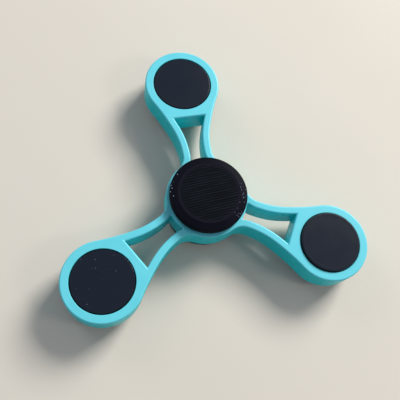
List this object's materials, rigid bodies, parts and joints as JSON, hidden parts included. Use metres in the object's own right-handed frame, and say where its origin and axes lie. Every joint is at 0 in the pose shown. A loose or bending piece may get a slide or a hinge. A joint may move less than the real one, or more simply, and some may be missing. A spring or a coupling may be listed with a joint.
{
  "type": "fidget spinner",
  "caption": "Hand-held fidget spinner with open looped arms, a capped ball bearing in the hub and capped round weights in the lobes.",
  "frame": {"origin": "middle of the hub bearing, on the spin axis and halfway through the body's thickness", "axes": "+Z along the spin axis, out of the top finger cap; +Y along the first arm; +X across the other two lobes"},
  "size_m": [0.1086, 0.0977, 0.0194],
  "materials": {
    "turquoise_pla": "printed plastic, satin, with fine layer lines",
    "black_pla": "printed plastic, satin, raster lines on the pads",
    "cover_pla": "printed plastic, smooth first-layer face",
    "race_steel": "ground and polished bearing steel",
    "ball_steel": "polished bearing steel",
    "cage_steel": "pressed sheet steel",
    "shield_steel": "pressed sheet steel, faint concentric brushing"
  },
  "bodies": {
    "held": {"top_cap": "black_pla", "bottom_cap": "black_pla", "hub_inner_race": "race_steel"},
    "spinner": {"body": "turquoise_pla", "hub_outer_race": "race_steel", "hub_shield_upper": "shield_steel", "hub_shield_lower": "shield_steel", "lobe_1_outer_race": "race_steel", "lobe_1_inner_race": "race_steel", "lobe_1_balls": "ball_steel", "lobe_1_cage_upper": "cage_steel", "lobe_1_cage_lower": "cage_steel", "lobe_1_shield_upper": "shield_steel", "lobe_1_shield_lower": "shield_steel", "lobe_1_cover_top": "cover_pla", "lobe_1_cover_bottom": "cover_pla", "lobe_2_outer_race": "race_steel", "lobe_2_inner_race": "race_steel", "lobe_2_balls": "ball_steel", "lobe_2_cage_upper": "cage_steel", "lobe_2_cage_lower": "cage_steel", "lobe_2_shield_upper": "shield_steel", "lobe_2_shield_lower": "shield_steel", "lobe_2_cover_top": "cover_pla", "lobe_2_cover_bottom": "cover_pla", "lobe_3_outer_race": "race_steel", "lobe_3_inner_race": "race_steel", "lobe_3_balls": "ball_steel", "lobe_3_cage_upper": "cage_steel", "lobe_3_cage_lower": "cage_steel", "lobe_3_shield_upper": "shield_steel", "lobe_3_shield_lower": "shield_steel", "lobe_3_cover_top": "cover_pla", "lobe_3_cover_bottom": "cover_pla"},
    "hub_cage": {"hub_cage_upper": "cage_steel", "hub_cage_lower": "cage_steel"},
    "ball_1": {"hub_ball_1": "ball_steel"},
    "ball_2": {"hub_ball_2": "ball_steel"},
    "ball_3": {"hub_ball_3": "ball_steel"},
    "ball_4": {"hub_ball_4": "ball_steel"},
    "ball_5": {"hub_ball_5": "ball_steel"},
    "ball_6": {"hub_ball_6": "ball_steel"},
    "ball_7": {"hub_ball_7": "ball_steel"}
  },
  "joints": [
    {"name": "spin", "type": "hinge", "parent": "held", "child": "spinner", "pos_m": [0, 0, 0], "axis": [0, 0, 1], "continuous": true},
    {"name": "cage_orbit", "type": "hinge", "parent": "held", "child": "hub_cage", "pos_m": [0, 0, 0], "axis": [0, 0, 1], "continuous": true},
    {"name": "ball_1_roll", "type": "hinge", "parent": "hub_cage", "child": "ball_1", "pos_m": [0, 0.0075, 0], "axis": [0, 0, 1], "continuous": true},
    {"name": "ball_2_roll", "type": "hinge", "parent": "hub_cage", "child": "ball_2", "pos_m": [-0.00586, 0.00468, 0], "axis": [0, 0, 1], "continuous": true},
    {"name": "ball_3_roll", "type": "hinge", "parent": "hub_cage", "child": "ball_3", "pos_m": [-0.00731, -0.00167, 0], "axis": [0, 0, 1], "continuous": true},
    {"name": "ball_4_roll", "type": "hinge", "parent": "hub_cage", "child": "ball_4", "pos_m": [-0.00325, -0.00676, 0], "axis": [0, 0, 1], "continuous": true},
    {"name": "ball_5_roll", "type": "hinge", "parent": "hub_cage", "child": "ball_5", "pos_m": [0.00325, -0.00676, 0], "axis": [0, 0, 1], "continuous": true},
    {"name": "ball_6_roll", "type": "hinge", "parent": "hub_cage", "child": "ball_6", "pos_m": [0.00731, -0.00167, 0], "axis": [0, 0, 1], "continuous": true},
    {"name": "ball_7_roll", "type": "hinge", "parent": "hub_cage", "child": "ball_7", "pos_m": [0.00586, 0.00468, 0], "axis": [0, 0, 1], "continuous": true}
  ],
  "couplings": [
    {"joint": "cage_orbit", "follows": "spin", "ratio": 0.6323},
    {"joint": "ball_1_roll", "follows": "spin", "ratio": 1.7573},
    {"joint": "ball_2_roll", "follows": "spin", "ratio": 1.7573},
    {"joint": "ball_3_roll", "follows": "spin", "ratio": 1.7573},
    {"joint": "ball_4_roll", "follows": "spin", "ratio": 1.7573},
    {"joint": "ball_5_roll", "follows": "spin", "ratio": 1.7573},
    {"joint": "ball_6_roll", "follows": "spin", "ratio": 1.7573},
    {"joint": "ball_7_roll", "follows": "spin", "ratio": 1.7573}
  ]
}
